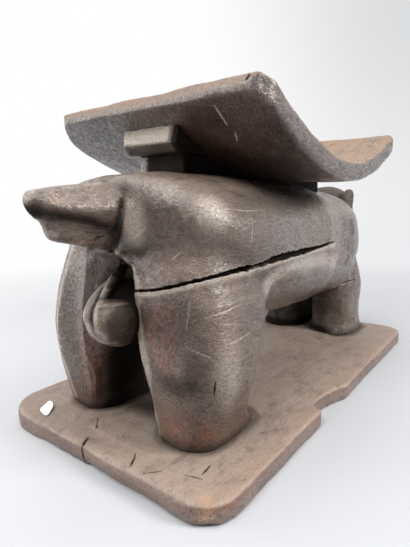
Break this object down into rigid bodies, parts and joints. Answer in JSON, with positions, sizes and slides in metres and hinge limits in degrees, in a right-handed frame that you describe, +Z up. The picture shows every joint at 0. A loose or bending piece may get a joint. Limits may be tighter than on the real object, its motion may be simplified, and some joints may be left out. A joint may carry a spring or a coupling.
{
  "type": "stool",
  "caption": "Low stool carved from one block of wood: an elephant standing on a rounded plate, with a curved seat on its back.",
  "frame": {"origin": "centre of the underside of the plate, on the surface that the stool stands on", "axes": "+Z up, +Y the way the elephant looks, +X its right side"},
  "size_m": [0.2237, 0.501, 0.2562],
  "materials": {
    "carved_wood": "hand-carved hardwood, dark grey-brown, waxy from handling",
    "plate_wood": "the same hardwood, drier and dusty, worn pale at its edges",
    "seat_wood": "the same hardwood, almost black brown below and rubbed tan above",
    "label_paper": "blank white paper sticker with a curled edge"
  },
  "bodies": {
    "root": {"base_plate": "plate_wood", "hind_leg_right": "carved_wood", "hind_leg_left": "carved_wood", "front_leg_right": "carved_wood", "front_leg_left": "carved_wood", "body": "carved_wood", "tail": "carved_wood", "pouch": "carved_wood", "head": "carved_wood", "trunk": "carved_wood", "tusk_right": "carved_wood", "tusk_left": "carved_wood", "ear_right": "carved_wood", "ear_left": "carved_wood", "seat_post_rear": "carved_wood", "seat_post_front": "carved_wood", "seat_lug_rear": "carved_wood", "seat_lug_front": "carved_wood", "seat": "seat_wood", "paper_label": "label_paper"}
  },
  "joints": []
}
